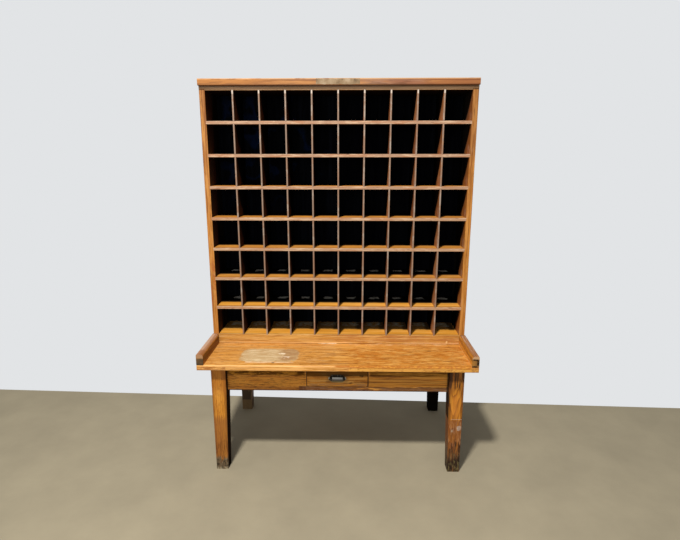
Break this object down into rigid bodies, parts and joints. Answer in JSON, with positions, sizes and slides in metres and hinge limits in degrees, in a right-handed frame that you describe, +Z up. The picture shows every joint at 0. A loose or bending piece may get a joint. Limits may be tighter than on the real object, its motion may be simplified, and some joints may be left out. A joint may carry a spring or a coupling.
{
  "type": "pigeonhole mail sorter",
  "caption": "Oak table with a drawer and worn deck, carrying a tall case of open pigeonholes for sorting letters.",
  "frame": {"origin": "on the floor, under the centre of the table top", "axes": "+Z up; +Y away from the clerk, towards the back boards; the drawer opens along -Y; X along the length"},
  "size_m": [1.412, 0.76, 2.013],
  "materials": {
    "table_top_oak": "worn golden oak, satin",
    "leg_oak": "worn golden oak, satin",
    "apron_oak": "figured oak, satin, browner than the top",
    "side_apron_oak": "oak, satin",
    "deck_rail_oak": "oak, satin, rubbed edges",
    "case_side_oak": "golden oak, satin",
    "case_top_oak": "golden oak, satin",
    "shelf_oak": "oak with paler worn front edges",
    "divider_oak": "thin oak with paler worn front edges",
    "dark_back_wood": "dark stained softwood",
    "inner_softwood": "bare softwood",
    "pull_steel": "aged plain steel, rubbed bright",
    "screw_steel": "dull steel",
    "label_paper": "aged bare paper, matt"
  },
  "bodies": {
    "sorter": {"back_board_1": "dark_back_wood", "back_board_2": "dark_back_wood", "back_board_3": "dark_back_wood", "back_board_4": "dark_back_wood", "back_board_5": "dark_back_wood", "back_board_6": "dark_back_wood", "back_board_screws": "screw_steel", "blank_label": "label_paper", "bottom_shelf": "shelf_oak", "button_screws": "screw_steel", "case_side_left": "case_side_oak", "case_side_right": "case_side_oak", "case_top_board": "case_top_oak", "cornice": "case_top_oak", "cornice_screws": "screw_steel", "deck_rail_left": "deck_rail_oak", "deck_rail_right": "deck_rail_oak", "dividers_row_1": "divider_oak", "dividers_row_2": "divider_oak", "dividers_row_3": "divider_oak", "dividers_row_4": "divider_oak", "dividers_row_5": "divider_oak", "dividers_row_6": "divider_oak", "dividers_row_7": "divider_oak", "dividers_row_8": "divider_oak", "drawer_guide_left": "inner_softwood", "drawer_guide_right": "inner_softwood", "drawer_runner_left": "inner_softwood", "drawer_runner_right": "inner_softwood", "drawer_stops": "inner_softwood", "front_apron": "apron_oak", "kick_rail": "shelf_oak", "leg_front_left": "leg_oak", "leg_front_right": "leg_oak", "leg_rear_left": "leg_oak", "leg_rear_right": "leg_oak", "rear_apron": "side_apron_oak", "rear_support": "dark_back_wood", "shelf_1": "shelf_oak", "shelf_2": "shelf_oak", "shelf_3": "shelf_oak", "shelf_4": "shelf_oak", "shelf_5": "shelf_oak", "shelf_6": "shelf_oak", "shelf_7": "shelf_oak", "side_apron_left": "side_apron_oak", "side_apron_right": "side_apron_oak", "table_top_board_1": "table_top_oak", "table_top_board_2": "table_top_oak", "table_top_board_3": "table_top_oak", "table_top_screws": "screw_steel", "top_buttons": "inner_softwood"},
    "drawer": {"drawer_front": "apron_oak", "drawer_side_left": "inner_softwood", "drawer_side_right": "inner_softwood", "drawer_back": "inner_softwood", "drawer_bottom": "inner_softwood", "drawer_pull": "pull_steel", "drawer_pull_screws": "screw_steel"}
  },
  "joints": [
    {"name": "drawer_slide", "type": "slide", "parent": "sorter", "child": "drawer", "axis": [0, -1, 0], "range_m": [0, 0.3]}
  ]
}
